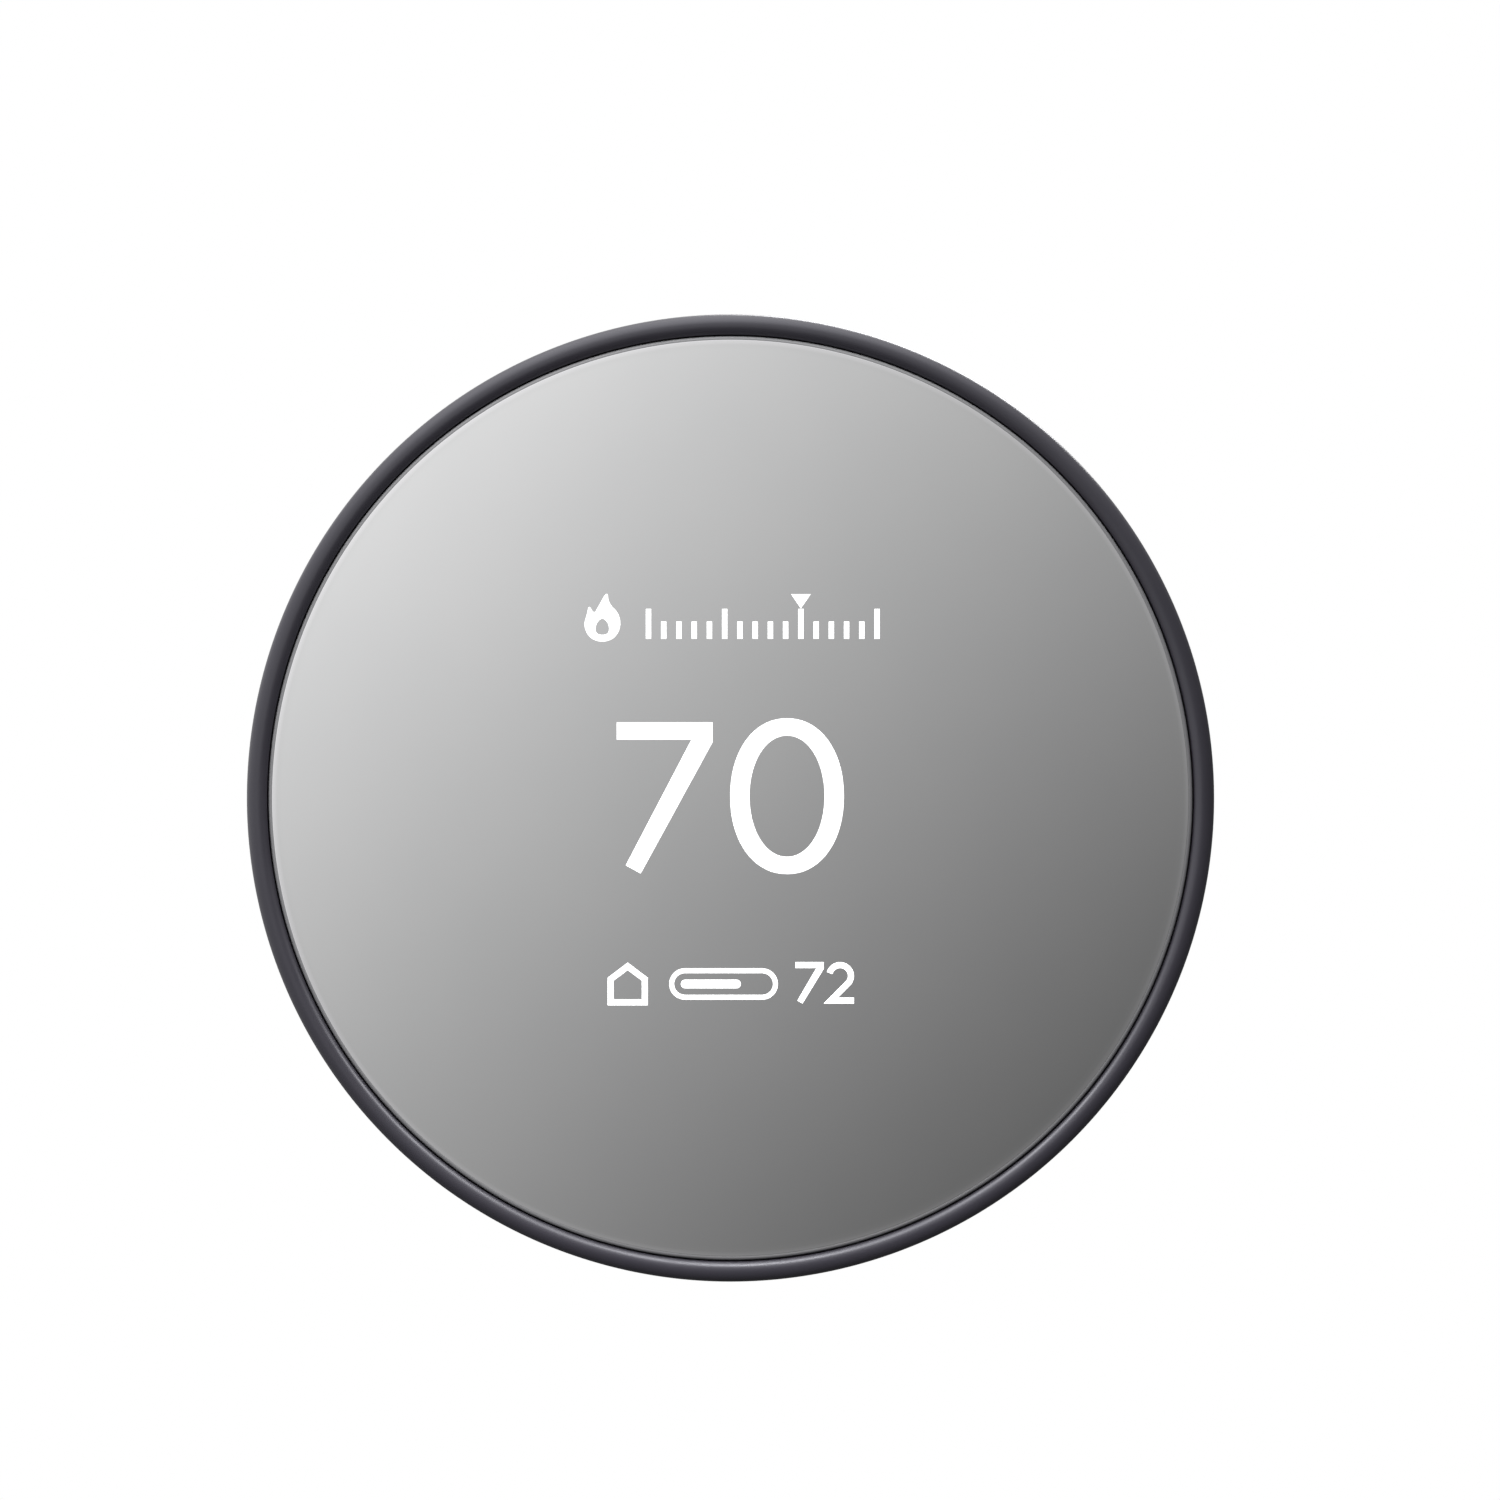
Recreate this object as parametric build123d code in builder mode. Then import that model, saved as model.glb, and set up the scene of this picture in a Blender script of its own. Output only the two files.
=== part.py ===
from build123d import *

import os
from math import cos, radians, sin, sqrt

# A round wall thermostat, in millimetres: a mirror-faced head that pushes onto a wall base.
# The frame's origin is the centre of the base's wall face, +Z is up, and the head faces -Y.
# "Depth" is the distance in front of the wall, along -Y.

os.makedirs("parts", exist_ok=True)

# ---- Driving dimensions -------------------------------------------------------------------

overall_depth = 27.3
housing_radius = 42.0
lens_radius = 40.05
lens_gap = 0.15
dome_height = 0.75

lens_back = 25.0
shelf_front = 24.7
shelf_back = 23.2
board_front = 20.2
board_back = 19.0
skirt_end = 3.0
cover_back = 5.6
channel_ceiling = 12.6

base_radius = 36.8
base_rim = 5.0
column_top = 11.5
column_half_width = 13.7
channel_half_width = 14.4
wire_hole = (24.0, 20.0)

battery_radius = 5.25
battery_length = 44.5
battery_x = 20.9
battery_depth = 12.0

boss_circle = 34.2
boss_angles = (57, 123, 237, 303)
wall_screw_x = 29.5
terminal_pitch = 6.2
terminal_columns = [(i - 1.5) * terminal_pitch for i in range(4)]
tab_row = 21.0
plug_row = -29.5

# ---- Frames and small tools ---------------------------------------------------------------

FRONT = Plane(origin=(0, 0, 0), x_dir=(1, 0, 0), z_dir=(0, -1, 0))
PROFILE = Plane(origin=(0, 0, 0), x_dir=(1, 0, 0), z_dir=(0, 0, -1))


def at(depth):
    """Plane parallel to the wall at a depth, x to the right, y up, extruding away from the wall."""
    return FRONT.offset(depth)


def side(x):
    """Plane across the object at x, with local x up the wall and local y the depth."""
    return Plane(origin=(x, 0, 0), x_dir=(0, 0, 1), z_dir=(1, 0, 0))


def spot(x, z, depth):
    """Point in the frame from its place on the wall and its depth."""
    return (x, -depth, z)


def polar(radius, angle):
    """Place on the wall at a radius and an angle from +X."""
    return (radius * cos(radians(angle)), radius * sin(radians(angle)))


def slab(x, z, width, height, start, end, mode=Mode.ADD, corner=0.0):
    """Adds or cuts a block of a part, from one depth to another."""
    with BuildSketch(at(start)) as outline:
        with Locations((x, z)):
            if corner:
                RectangleRounded(width, height, corner)
            else:
                Rectangle(width, height)
    extrude(outline.sketch, amount=end - start, mode=mode)


def rod(x, z, radius, start, end, mode=Mode.ADD):
    """Adds or cuts a round rod square to the wall, from one depth to another."""
    with BuildSketch(at(start)) as outline:
        with Locations((x, z)):
            Circle(radius)
    extrude(outline.sketch, amount=end - start, mode=mode)


def screw(x, z, head_radius, shank_radius, head_start, head_end, tip):
    """Adds a pan-head screw with a cross recess, its head nearest the wall."""
    rod(x, z, head_radius, head_start, head_end)
    rod(x, z, shank_radius, head_end, tip)
    recess = 0.45 * (head_end - head_start)
    for width, height in ((1.2, 0.35), (0.35, 1.2)):
        slab(x, z, width * head_radius, height * head_radius, head_start, head_start + recess,
             Mode.SUBTRACT)


def save(piece, label):
    """Names a finished piece and writes it as one STEP file."""
    piece.part.label = label
    export_step(piece.part, f"parts/{label}.step")


# ---- Head: lens and housing ---------------------------------------------------------------

edge_round = 0.35
dome_radius = (lens_radius**2 + dome_height**2) / (2 * dome_height)

with BuildPart() as lens:
    rod(0, 0, lens_radius, lens_back, overall_depth)
    with Locations(spot(0, 0, overall_depth - dome_radius)):
        Sphere(dome_radius, mode=Mode.INTERSECT)
    fillet(edges().sort_by(Axis.Y)[0], radius=edge_round)
    chamfer(edges().sort_by(Axis.Y)[-1], length=edge_round)
save(lens, "lens")

adhesive_inner = 36.9
with BuildPart() as lens_adhesive:
    with BuildSketch(at(shelf_front)):
        Circle(lens_radius - 0.6)
        Circle(adhesive_inner, mode=Mode.SUBTRACT)
    extrude(amount=lens_back - shelf_front)
save(lens_adhesive, "lens_adhesive")

bead_radius = 1.1
bead_depth = 25.3
bead_centre = housing_radius - bead_radius
pocket_radius = lens_radius + lens_gap
bead_reach = bead_centre - pocket_radius
bead_inner = bead_depth + sqrt(bead_radius**2 - bead_reach**2)
shelf_inner = 36.6
bore_radius = 39.9
skirt_bore = 38.4
bore_taper_start = 8.0
bore_taper_end = 13.5
side_taper_start = 22.0
skirt_radius = 40.2
skirt_corner = 4.0
frame_screw_circle = 38.2
frame_screw_angles = (20, 160, 200, 340)
frame_screw_hole = 0.65

with BuildPart() as front_housing:
    with BuildSketch(PROFILE):
        with BuildLine():
            Line((pocket_radius, shelf_front), (pocket_radius, bead_inner))
            ThreePointArc((pocket_radius, bead_inner), (bead_centre, bead_depth + bead_radius),
                          (housing_radius, bead_depth))
            Line((housing_radius, bead_depth), (housing_radius, side_taper_start))
            TangentArc((housing_radius, side_taper_start), (skirt_radius, skirt_corner),
                       tangent=(0, -1))
            ThreePointArc((skirt_radius, skirt_corner), (skirt_radius - 0.3, skirt_corner - 0.7),
                          (skirt_radius - 1.0, skirt_end))
            Polyline((skirt_radius - 1.0, skirt_end), (skirt_bore, skirt_end),
                     (skirt_bore, bore_taper_start), (bore_radius, bore_taper_end),
                     (bore_radius, shelf_back), (shelf_inner, shelf_back),
                     (shelf_inner, shelf_front), (pocket_radius, shelf_front))
        make_face()
    revolve(axis=Axis.Y)
    for angle in frame_screw_angles:
        x, z = polar(frame_screw_circle, angle)
        rod(x, z, frame_screw_hole, shelf_back, shelf_front - 0.4, Mode.SUBTRACT)
save(front_housing, "front_housing")

# ---- Head: display --------------------------------------------------------------------------

panel_size = (40.6, 53.6)
panel_z = 0.8
panel_top = panel_z + panel_size[1] / 2
active_size = (36.7, 49.0)
frame_back = 20.6
frame_face = 24.6
pocket_floor = 21.6
pocket_size = (41.2, 55.2)
pocket_z = 1.3
sensor_z = 32.2
sensor_floor = 22.4
flex_width = 16.0
flex_z = 28.3
boss_radius = 2.5
boss_start = 10.5
boss_hole = 0.85
boss_hole_end = 16.0
frame_radius = 39.4
frame_lip_radius = 36.3
web_size = (12.0, 17.0)
web_pitch = (17.0, 22.0)
board_screw_hole = 0.75
board_screw_spots = [(x, z) for x in (-31.5, 31.5) for z in (-12.0, 12.0)]

with BuildPart() as display_frame:
    rod(0, 0, frame_radius, frame_back, shelf_back)
    rod(0, 0, frame_lip_radius, shelf_back, frame_face)
    slab(0, pocket_z, *pocket_size, pocket_floor, frame_face, Mode.SUBTRACT, corner=0.6)
    slab(0, sensor_z, 16.6, 4.4, sensor_floor, frame_face, Mode.SUBTRACT)
    slab(0, sensor_z, 9.0, 2.8, frame_back, sensor_floor, Mode.SUBTRACT)
    slab(0, flex_z, flex_width + 1.0, 1.2, frame_back, pocket_floor, Mode.SUBTRACT)
    with BuildSketch(at(frame_back)):
        with GridLocations(*web_pitch, 2, 2):
            RectangleRounded(*web_size, 2.0)
    extrude(amount=pocket_floor - frame_back, mode=Mode.SUBTRACT)
    for angle in boss_angles:
        x, z = polar(boss_circle, angle)
        rod(x, z, boss_radius, boss_start, frame_back)
        rod(x, z, boss_hole, boss_start, boss_hole_end, Mode.SUBTRACT)
    for angle in frame_screw_angles:
        x, z = polar(frame_screw_circle, angle)
        rod(x, z, frame_screw_hole, frame_back, shelf_back, Mode.SUBTRACT)
    for x, z in board_screw_spots:
        rod(x, z, 2.0, board_front, frame_back)
        rod(x, z, board_screw_hole, board_front, 22.8, Mode.SUBTRACT)
save(display_frame, "display_frame")

with BuildPart() as display_frame_screws:
    for angle in frame_screw_angles:
        x, z = polar(frame_screw_circle, angle)
        screw(x, z, 1.15, 0.6, frame_back - 0.7, frame_back, shelf_front - 0.5)
save(display_frame_screws, "display_frame_screws")

with BuildPart() as backlight_unit:
    slab(0, panel_z, *panel_size, pocket_floor, shelf_back, corner=0.5)
save(backlight_unit, "backlight_unit")

with BuildPart() as lcd_panel:
    slab(0, panel_z, panel_size[0] - 0.4, panel_size[1], shelf_back, 24.5)
save(lcd_panel, "lcd_panel")

with BuildPart() as display_gasket:
    with BuildSketch(at(frame_face)):
        Circle(frame_lip_radius - 0.1)
        RectangleRounded(active_size[0] + 1.0, active_size[1] + 1.0, 1.0, mode=Mode.SUBTRACT)
        with Locations((0, sensor_z)):
            SlotOverall(14.0, 3.2, mode=Mode.SUBTRACT)
    extrude(amount=lens_back - frame_face)
save(display_gasket, "display_gasket")

flex_thickness = 0.15
flex_depth = 18.3
flex_socket_z = 23.8
with BuildPart() as display_flex:
    with BuildSketch(side(0)):
        with BuildLine():
            FilletPolyline((panel_top, 24.0), (flex_z, 24.0), (flex_z, flex_depth),
                           (flex_socket_z + 2.0, flex_depth), radius=0.5)
        trace(line_width=flex_thickness)
    extrude(amount=flex_width / 2, both=True)
save(display_flex, "display_flex")

# ---- Head: main board and what it carries ---------------------------------------------------

board_radius = 36.0
with BuildPart() as main_board:
    rod(0, 0, board_radius, board_back, board_front)
    for angle in boss_angles:
        x, z = polar(boss_circle, angle)
        rod(x, z, boss_radius + 0.4, board_back, board_front, Mode.SUBTRACT)
    slab(0, flex_z, flex_width + 1.0, 1.2, board_back, board_front, Mode.SUBTRACT, corner=0.4)
    for x, z in board_screw_spots:
        rod(x, z, board_screw_hole, board_back, board_front, Mode.SUBTRACT)
save(main_board, "main_board")

with BuildPart() as board_screws:
    for x, z in board_screw_spots:
        screw(x, z, 1.4, 0.7, board_back - 1.0, board_back, 22.6)
save(board_screws, "board_screws")


def shield_can(label, x, z, width, height, tall):
    """Makes a folded metal can, open towards the board, with a row of vent holes."""
    wall = 0.25
    with BuildPart() as can:
        slab(x, z, width, height, board_back - tall, board_back, corner=0.8)
        slab(x, z, width - 2 * wall, height - 2 * wall, board_back - tall + wall, board_back,
             Mode.SUBTRACT, corner=0.5)
        with BuildSketch(at(board_back - tall)):
            with Locations((x, z)):
                with GridLocations(2.2, 2.2, int(width / 3.4), int(height / 3.4)):
                    Circle(0.45)
        extrude(amount=wall, mode=Mode.SUBTRACT)
    save(can, label)


shield_can("processor_shield", 0, 11.5, 18.0, 16.0, 2.2)
shield_can("radio_shield", -3.5, -4.0, 14.0, 10.0, 1.8)

with BuildPart() as flex_connector:
    slab(0, flex_socket_z, flex_width + 2.0, 3.6, 17.4, board_back)
    slab(0, flex_socket_z + 1.1, flex_width + 0.4, 1.8, flex_depth - 0.2, flex_depth + 0.2,
         Mode.SUBTRACT)
save(flex_connector, "flex_connector")

sounder_spot = (-5.0, -15.5)
sounder_face = 16.6
with BuildPart() as sounder:
    rod(*sounder_spot, 4.5, sounder_face, board_back)
    rod(*sounder_spot, 0.9, sounder_face, sounder_face + 1.2, Mode.SUBTRACT)
save(sounder, "sounder")

# x, z, width, height and how tall: chips, coils and capacitors on the board's wall side.
chips = [
    (9.0, -2.2, 7.0, 6.0, 1.1),
    (9.0, -8.6, 4.0, 4.0, 2.0),
    (4.4, -12.6, 3.2, 2.6, 0.9),
    (4.4, -17.0, 5.0, 3.6, 1.0),
    (10.6, -14.4, 3.0, 2.2, 1.4),
    (10.6, -18.4, 2.0, 3.2, 1.2),
    (32.0, 0.0, 3.6, 5.4, 1.2),
    (32.6, -6.0, 2.4, 2.4, 0.8),
    (-11.6, 24.0, 1.6, 2.4, 0.8),
    (11.6, 24.0, 1.6, 2.4, 0.8),
]
with BuildPart() as board_components:
    for x, z, width, height, tall in chips:
        slab(x, z, width, height, board_back - tall, board_back)
    for x in range(-12, 13, 3):
        slab(x, -23.0, 1.6, 0.8, board_back - 0.6, board_back)
    for z in range(-2, 20, 3):
        slab(-11.8, z, 0.8, 1.6, board_back - 0.6, board_back)
save(board_components, "board_components")

sensor_face = sensor_floor + 0.8
with BuildPart() as sensor_board:
    slab(0, sensor_z, 16.0, 4.0, sensor_floor, sensor_face)
save(sensor_board, "sensor_board")

with BuildPart() as sensor_connector:
    slab(0, sensor_z, 8.0, 2.4, board_front, sensor_floor)
save(sensor_connector, "sensor_connector")

with BuildPart() as radar_chip:
    slab(0, sensor_z, 6.0, 3.2, sensor_face, sensor_face + 0.9)
save(radar_chip, "radar_chip")

with BuildPart() as light_sensors:
    for x in (-5.6, 5.6):
        slab(x, sensor_z, 2.0, 2.0, sensor_face, sensor_face + 0.7)
        rod(x, sensor_z, 0.6, sensor_face + 0.7, sensor_face + 0.9)
save(light_sensors, "light_sensors")

climate_x = -33.0
climate_board_thickness = 0.8
with BuildPart() as climate_sensor_board:
    slab(climate_x, 0, climate_board_thickness, 9.0, 8.2, board_back)
    slab(climate_x, 0, climate_board_thickness, 5.4, 12.5, 14.5, Mode.SUBTRACT)
save(climate_sensor_board, "climate_sensor_board")

with BuildPart() as climate_sensor:
    slab(climate_x - 0.85, 0, 0.9, 2.6, 8.8, 11.4)
save(climate_sensor, "climate_sensor")

touch_half_angle = 38
touch_outer = bore_radius - 0.1
touch_thickness = 0.2
touch_middle = touch_outer - touch_thickness / 2
with BuildPart() as touch_strip:
    with BuildSketch(at(14.5)):
        with BuildLine():
            CenterArc((0, 0), touch_middle, -touch_half_angle, 2 * touch_half_angle)
        trace(line_width=touch_thickness)
    extrude(amount=5.3)
save(touch_strip, "touch_strip")

tail_start = 34.2
tail_end = touch_outer - 0.25
tail_width = 5.0
tail_depth = 18.3
with BuildPart() as touch_tail:
    slab((tail_start + tail_end) / 2, 0, tail_end - tail_start, tail_width, tail_depth,
         tail_depth + flex_thickness)
    slab(tail_start - 0.1, 0, 0.2, tail_width, tail_depth, board_back)
save(touch_tail, "touch_tail")

plug_size = (22.0, 4.8)
pin_pitch = 2.54
pin_width = 0.64
plug_face = 12.1
pin_tip = 7.0


def plug_grid(width, start, end, mode=Mode.ADD):
    """Adds or cuts the plug's two rows of eight square pins or holes."""
    with BuildSketch(at(start)) as grid:
        with Locations((0, plug_row)):
            with GridLocations(pin_pitch, pin_pitch, 8, 2):
                Rectangle(width, width)
    extrude(grid.sketch, amount=end - start, mode=mode)


with BuildPart() as plug_header:
    slab(0, plug_row, *plug_size, plug_face, board_back)
    slab(0, plug_row, plug_size[0] - 3.0, plug_size[1] + 1, plug_face + 3.0, board_back - 3.0)
    plug_grid(pin_width, plug_face, board_back, Mode.SUBTRACT)
save(plug_header, "plug_header")

with BuildPart() as plug_pins:
    plug_grid(pin_width, pin_tip, board_back)
    chamfer(faces().filter_by(Axis.Y).group_by(Axis.Y)[-1].edges(), length=0.2)
save(plug_pins, "plug_pins")

# ---- Head: rear cover and batteries -----------------------------------------------------------

cover_radius = 38.1
cover_wall = 1.5
cover_side = 1.2
bay_wall = 1.0
bay_round = battery_radius + 0.2
bay_half_length = 24.5
bay_ceiling = battery_depth + bay_round
channel_roof = channel_ceiling + cover_wall
cover_seat = 8.4
vent_size = (4.4, 1.1)
vent_pitch = 2.4
label_size = (20.0, 26.0)

with BuildPart() as rear_cover:
    rod(0, 0, cover_radius, cover_back, channel_roof)
    rod(0, 0, cover_radius - cover_side, cover_back + cover_wall, channel_roof, Mode.SUBTRACT)
    with BuildSketch(at(cover_back)):
        Circle(cover_radius)
        Rectangle(2 * channel_half_width + 2 * cover_side, 2 * cover_radius, mode=Mode.INTERSECT)
    extrude(amount=channel_roof - cover_back)
    for angle in boss_angles:
        rod(*polar(boss_circle, angle), 3.2, cover_back, boss_start - 0.1)
    for x in (-battery_x, battery_x):
        slab(x, 0, 2 * (bay_round + bay_wall), 2 * (bay_half_length + bay_wall), cover_back,
             bay_ceiling + 0.8)
    slab(0, 0, 2 * channel_half_width, 2.1 * cover_radius, cover_back, channel_ceiling,
         Mode.SUBTRACT)
    for x in (-battery_x, battery_x):
        slab(x, 0, 2 * bay_round, 2 * bay_half_length, cover_back, battery_depth, Mode.SUBTRACT)
        with BuildSketch(Plane.XY.offset(-bay_half_length)):
            with Locations((x, -battery_depth)):
                Circle(bay_round)
        extrude(amount=2 * bay_half_length, mode=Mode.SUBTRACT)
        for end in (-1, 1):
            slab(x, end * (bay_half_length - 1.0), 2 * bay_round, 2.0, battery_depth,
                 bay_ceiling, Mode.SUBTRACT)
    slab(0, plug_row, plug_size[0] + 0.8, plug_size[1] + 1.8, channel_ceiling, channel_roof,
         Mode.SUBTRACT)
    for angle in boss_angles:
        x, z = polar(boss_circle, angle)
        rod(x, z, 1.9, cover_back, cover_seat, Mode.SUBTRACT)
        rod(x, z, 0.95, cover_seat, boss_start, Mode.SUBTRACT)
    with BuildSketch(at(cover_back)):
        with Locations((climate_x, 0)):
            with GridLocations(1, vent_pitch, 1, 6):
                SlotOverall(*vent_size)
    extrude(amount=cover_wall, mode=Mode.SUBTRACT)
    slab(0, 2.0, *label_size, channel_ceiling, channel_ceiling + 0.3, Mode.SUBTRACT, corner=1.5)
save(rear_cover, "rear_cover")

with BuildPart() as rear_cover_screws:
    for angle in boss_angles:
        screw(*polar(boss_circle, angle), 1.7, 0.8, cover_seat - 1.6, cover_seat, boss_hole_end - 1.5)
save(rear_cover_screws, "rear_cover_screws")

nub_radius = 1.9
nub_height = 1.1
plate_thickness = 0.3
plate_width = 9.0
plate_height = 8.4
battery_top = bay_half_length - plate_thickness - 0.05


def battery(label, x, up):
    """Makes one AAA cell, its positive nub up or down (up is 1 or -1)."""
    can_end = battery_top - nub_height
    steps = ((battery_radius, battery_top - battery_length, can_end),
             (nub_radius, can_end, battery_top))
    with BuildPart() as cell:
        for radius, low, high in steps:
            with BuildSketch(Plane(origin=(x, -battery_depth, up * low), z_dir=(0, 0, up))):
                Circle(radius)
            extrude(amount=high - low)
        rims = edges().filter_by(GeomType.CIRCLE)
        fillet(rims.filter_by(lambda e: abs(e.radius - battery_radius) < 0.01), radius=0.5)
        rims = edges().filter_by(GeomType.CIRCLE)
        fillet(rims.sort_by(lambda e: up * e.center().Z)[-1], radius=0.2)
    save(cell, label)


battery("battery_left", -battery_x, 1)
battery("battery_right", battery_x, -1)

wire_radius = 0.3
coil_radius = 3.2
coil_turns = 3
spring_end = bay_half_length - plate_thickness
spring_start = battery_length - battery_top
with BuildPart() as battery_springs:
    for x, up in ((-battery_x, -1), (battery_x, 1)):
        length = spring_end - spring_start - 2 * wire_radius
        with BuildLine() as coil:
            Helix(pitch=length / coil_turns, height=length, radius=coil_radius,
                  center=(x, -battery_depth, up * (spring_end - wire_radius)),
                  direction=(0, 0, -up), cone_angle=-20)
        with BuildSketch(Plane(origin=coil.line @ 0, z_dir=coil.line % 0)):
            Circle(wire_radius)
        sweep(path=coil.line)
save(battery_springs, "battery_springs")

with BuildPart() as battery_plates:
    for x in (-battery_x, battery_x):
        for end in (-1, 1):
            z = end * (bay_half_length - plate_thickness / 2)
            slab(x, z, plate_width, plate_thickness, battery_depth - 4.4,
                 battery_depth - 4.4 + plate_height)
save(battery_plates, "battery_plates")

# ---- Base: plate, board and cover -------------------------------------------------------------

plate_floor = 1.8
rim_inner = 35.4
base_board_back = 2.4
base_board_front = 3.4
cover_screw_spots = [(x, z) for x in (-22.5, 22.5) for z in (-22.5, 22.5)]
cover_screw_hole = 0.95
cover_screw_seat = 1.4
foot_spots = [(x, z) for x in (-15.2, 15.2) for z in (-12.4, 12.4)]
seal_groove = (31.8, 34.0)
groove_depth = 0.7
wall_screw_hole = 2.1
clip_angles = (45, 135, 225, 315)
clip_width = 8.0
clip_floor = 1.2

with BuildPart() as base_plate:
    rod(0, 0, base_radius, 0, base_rim)
    chamfer(edges().group_by(Axis.Y)[0], length=0.5)
    rod(0, 0, rim_inner, plate_floor, base_rim, Mode.SUBTRACT)
    for x, z in cover_screw_spots:
        rod(x, z, 3.4, plate_floor, base_board_back)
    for x, z in foot_spots:
        rod(x, z, 1.2, plate_floor, base_board_back)
    for z in (-29.0, 29.0):
        rod(0, z, 1.6, plate_floor, base_board_back)
    with BuildSketch(at(0)):
        Circle(seal_groove[1])
        Circle(seal_groove[0], mode=Mode.SUBTRACT)
        with Locations((wall_screw_x, 0), (-wall_screw_x, 0)):
            Circle(5.6, mode=Mode.SUBTRACT)
    extrude(amount=groove_depth, mode=Mode.SUBTRACT)
    with BuildSketch(at(0)):
        with PolarLocations(22.0, 4):
            SlotOverall(10.0, 3.0, rotation=90)
    extrude(amount=groove_depth, mode=Mode.SUBTRACT)
    slab(0, 0, *wire_hole, 0, plate_floor, Mode.SUBTRACT, corner=3.0)
    for x in (-wall_screw_x, wall_screw_x):
        rod(x, 0, wall_screw_hole, 0, plate_floor, Mode.SUBTRACT)
    for x, z in cover_screw_spots:
        rod(x, z, 2.1, 0, cover_screw_seat, Mode.SUBTRACT)
        rod(x, z, cover_screw_hole, cover_screw_seat, base_board_back, Mode.SUBTRACT)
    for angle in clip_angles:
        with BuildSketch(at(clip_floor)):
            with PolarLocations(0, 1, start_angle=angle):
                with Locations((base_radius, 0)):
                    Rectangle(1.2, clip_width + 0.4)
        extrude(amount=base_rim - clip_floor, mode=Mode.SUBTRACT)
save(base_plate, "base_plate")

with BuildPart() as base_board:
    slab(0, 0, 25.0, 63.0, base_board_back, base_board_front, corner=2.0)
    slab(0, 0, 34.0, 30.0, base_board_back, base_board_front, corner=2.0)
    slab(0, 0, wire_hole[0] + 0.6, wire_hole[1] + 0.6, base_board_back, base_board_front,
         Mode.SUBTRACT, corner=3.0)
save(base_board, "base_board")

wing_back = 3.8
cavity_end = 33.9
block_start = 11.2
block_end = 25.6
block_top = 10.2
entry_width = 2.4
entry_depth = 6.6
vial_z = 29.6

wing_radius = rim_inner - 0.2
block_half_width = 12.5

with BuildPart() as base_cover:
    rod(0, 0, wing_radius, wing_back, base_rim)
    with BuildSketch(at(wing_back)):
        Circle(wing_radius)
        Rectangle(2 * column_half_width, 80, mode=Mode.INTERSECT)
    extrude(amount=column_top - wing_back)
    fillet(edges().group_by(Axis.Y)[0], radius=0.6)
    for end in (-1, 1):
        with BuildSketch(at(wing_back)):
            with Locations((0, end * (block_start + 15))):
                Rectangle(2 * block_half_width + 0.2, 30)
            Circle(cavity_end, mode=Mode.INTERSECT)
        extrude(amount=block_top - wing_back, mode=Mode.SUBTRACT)
        for x in terminal_columns:
            slab(x, end * tab_row, 4.6, 4.0, block_top, column_top, Mode.SUBTRACT)
            with BuildSketch(at(entry_depth - entry_width / 2)):
                with Locations((x, end * (wire_hole[1] / 2 + 0.6))):
                    Rectangle(entry_width + 0.6, 2.0)
            extrude(amount=entry_width, mode=Mode.SUBTRACT)
    slab(0, 0, *wire_hole, wing_back, column_top, Mode.SUBTRACT, corner=3.0)
    slab(0, plug_row, plug_size[0] + 0.4, plug_size[1] + 0.4, block_top, column_top, Mode.SUBTRACT)
    with BuildSketch(at(block_top)):
        with Locations((0, vial_z)):
            SlotOverall(14.0, 3.6)
    extrude(amount=column_top - block_top, mode=Mode.SUBTRACT)
    for x in (-wall_screw_x, wall_screw_x):
        rod(x, 0, 4.8, wing_back, base_rim, Mode.SUBTRACT)
    for x, z in cover_screw_spots:
        rod(x, z, 2.4, base_board_back, wing_back)
        rod(x, z, 0.85, base_board_back, 4.7, Mode.SUBTRACT)
save(base_cover, "base_cover")

with BuildPart() as base_cover_screws:
    for x, z in cover_screw_spots:
        screw(x, z, 1.9, 0.8, cover_screw_seat - 1.1, cover_screw_seat, 4.6)
save(base_cover_screws, "base_cover_screws")

with BuildPart() as retention_springs:
    for angle in clip_angles:
        radial = Plane(origin=(0, 0, 0), x_dir=(cos(radians(angle)), 0, sin(radians(angle))),
                       z_dir=(sin(radians(angle)), 0, -cos(radians(angle))))
        with BuildSketch(radial):
            with BuildLine():
                FilletPolyline((36.45, 1.3), (36.45, 2.3), (37.95, 3.6), (36.7, 4.9), radius=0.4)
            trace(line_width=0.35)
        extrude(amount=clip_width / 2, both=True)
save(retention_springs, "retention_springs")

# ---- Base: wire terminals ---------------------------------------------------------------------

tab_foot = 7.6
tab_shoulder = 9.8
tab_face = 12.2
tab_pocket = 4.6
spring_thickness = 0.3
leaf_tip = 16.9
contact_thickness = 0.4
contact_z = 15.5
contact_length = 5.0
entry_roof = entry_depth + entry_width / 2


def contact(x, end, mode=Mode.ADD):
    """Adds or cuts one contact: a strip in front of the wire, with a leg beside it to the board."""
    strip_end = entry_roof + contact_thickness
    leg_x = x + (entry_width + contact_thickness) / 2
    slab(x + 0.3, end * contact_z, 2.6, contact_length, entry_roof, strip_end, mode)
    slab(leg_x, end * contact_z, contact_thickness, contact_length, base_board_front, strip_end, mode)


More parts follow.
